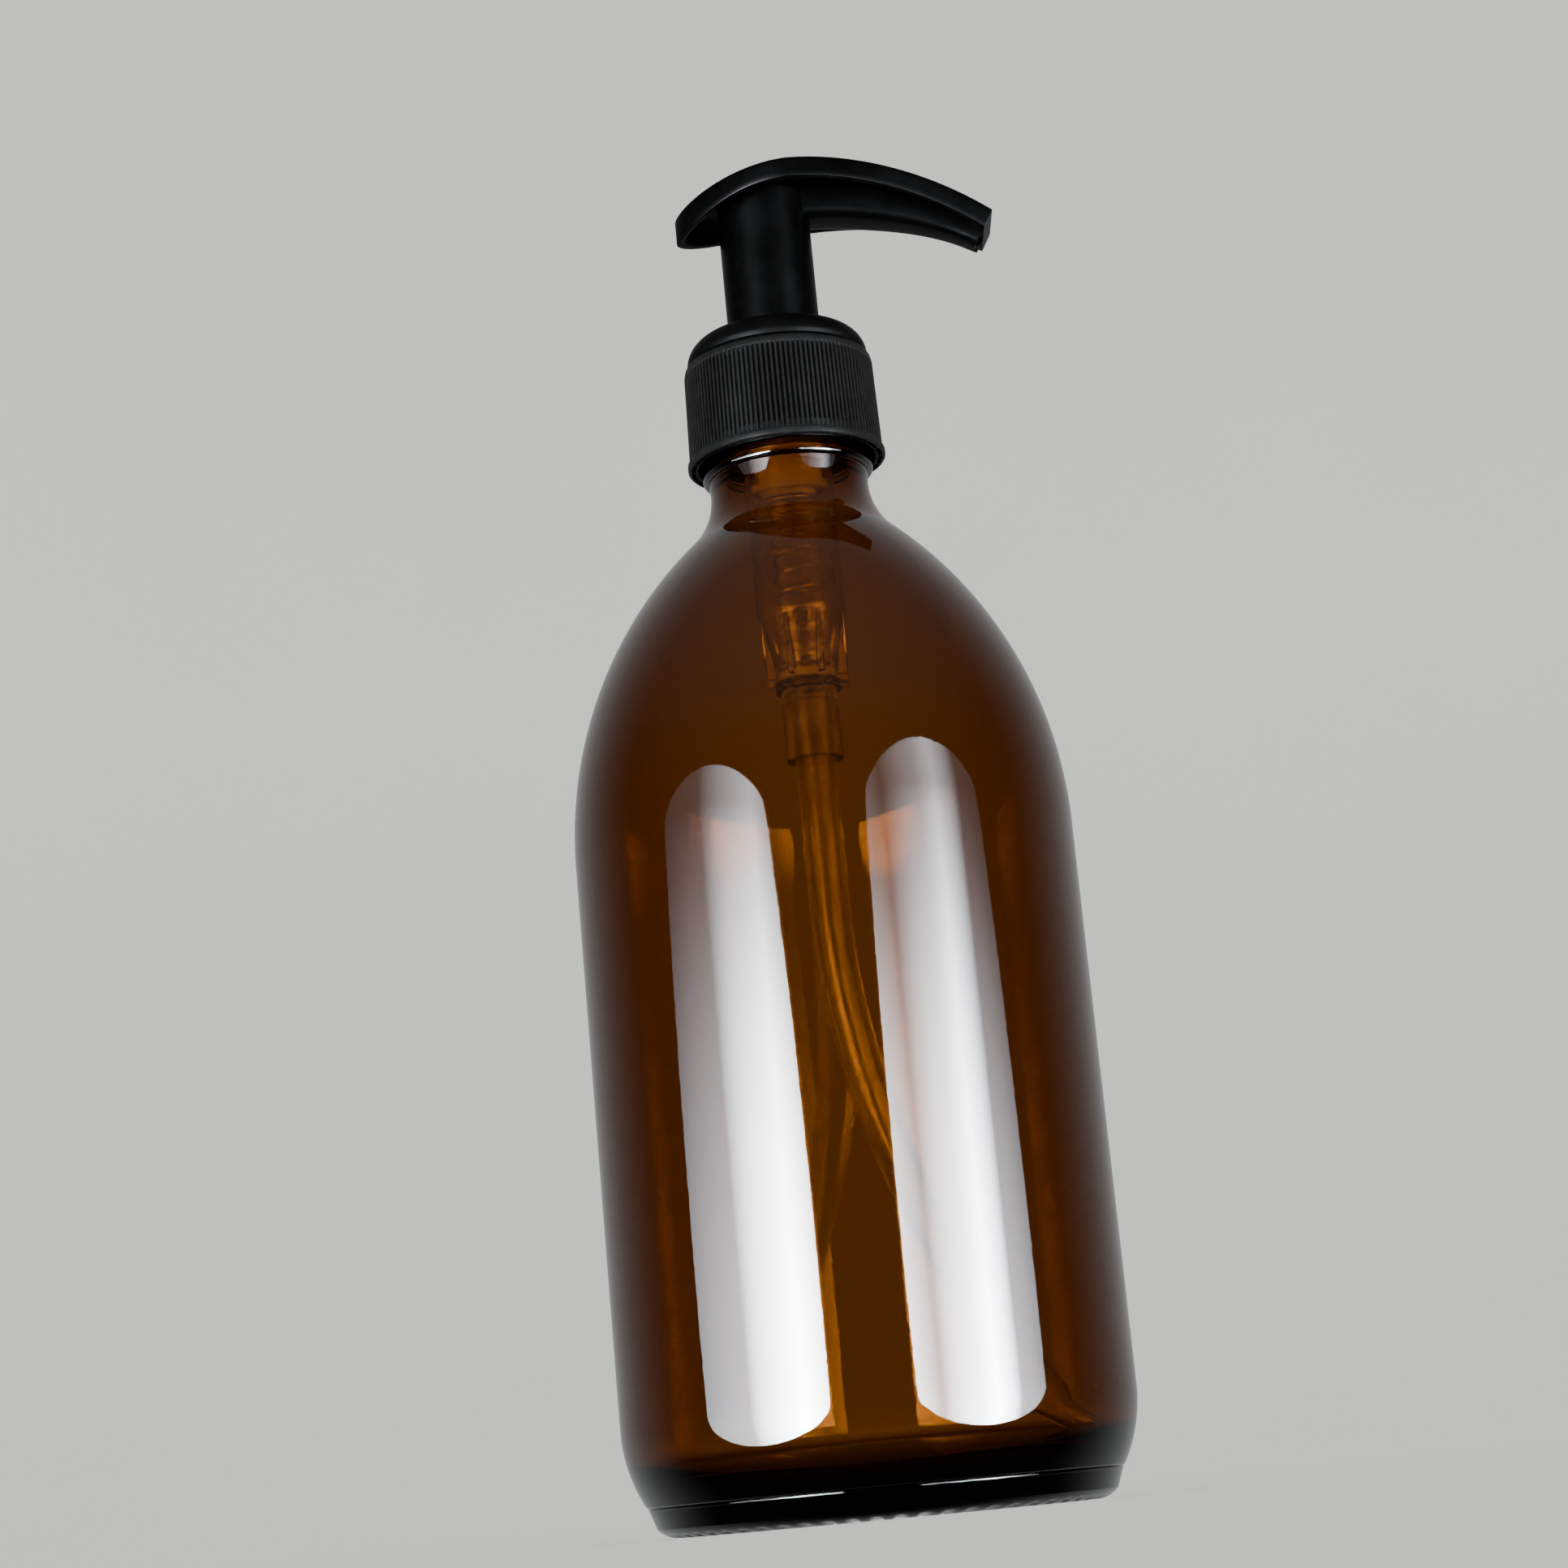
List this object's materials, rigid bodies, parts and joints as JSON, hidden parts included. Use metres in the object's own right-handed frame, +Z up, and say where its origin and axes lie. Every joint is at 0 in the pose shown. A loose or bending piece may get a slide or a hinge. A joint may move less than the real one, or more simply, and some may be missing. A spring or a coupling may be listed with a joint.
{
  "type": "soap pump dispenser",
  "caption": "Tall round-shouldered glass bottle with a ribbed screw collar and a press-down lotion pump, whose arched spout swivels.",
  "frame": {"origin": "centre of the bottle's base, on the plane it stands on", "axes": "+Z up along the bottle's and the pump's common axis, +X the way the spout points"},
  "size_m": [0.0766, 0.0766, 0.2103],
  "materials": {
    "amber_glass": "clear brown glass, fire polished",
    "black_plastic": "black moulded polypropylene, satin",
    "gasket_foam": "pale closed-cell foam",
    "clear_plastic": "natural translucent plastic",
    "white_plastic": "natural white plastic",
    "soft_plastic": "soft milky plastic",
    "spring_steel": "drawn stainless wire",
    "ball_steel": "polished stainless ball"
  },
  "bodies": {
    "bottle": {"bottle": "amber_glass"},
    "pump": {"pump_housing": "clear_plastic", "chaplet": "black_plastic", "neck_gasket": "gasket_foam", "dip_tube": "clear_plastic", "ball_cage": "white_plastic", "spring": "spring_steel"},
    "collar": {"collar": "black_plastic"},
    "plunger": {"piston": "soft_plastic"},
    "head": {"actuator_head": "black_plastic", "stem": "white_plastic", "piston_retainer": "white_plastic"},
    "inlet_ball": {"inlet_ball": "ball_steel"},
    "outlet_ball": {"outlet_ball": "ball_steel"}
  },
  "joints": [
    {"name": "pump_lift", "type": "slide", "parent": "bottle", "child": "pump", "axis": [0, 0, 1], "range_m": [0, 0.0053]},
    {"name": "collar_turn", "type": "hinge", "parent": "pump", "child": "collar", "pos_m": [0, 0, 0.17], "axis": [0, 0, 1], "range_deg": [0, 452]},
    {"name": "pump_stroke", "type": "slide", "parent": "pump", "child": "plunger", "axis": [0, 0, -1], "range_m": [0, 0.014], "stiffness_N_per_m": 700, "springref_m": -0.012, "deforming": ["spring"]},
    {"name": "head_swivel", "type": "hinge", "parent": "plunger", "child": "head", "pos_m": [0, 0, 0.19], "axis": [0, 0, 1], "continuous": true},
    {"name": "inlet_ball_lift", "type": "slide", "parent": "pump", "child": "inlet_ball", "axis": [0, 0, 1], "range_m": [0, 0.0012]},
    {"name": "outlet_ball_lift", "type": "slide", "parent": "head", "child": "outlet_ball", "axis": [0, 0, 1], "range_m": [0, 0.0012]}
  ],
  "couplings": [
    {"joint": "collar_turn", "follows": "pump_lift", "rad_per_m": 1485.4}
  ]
}
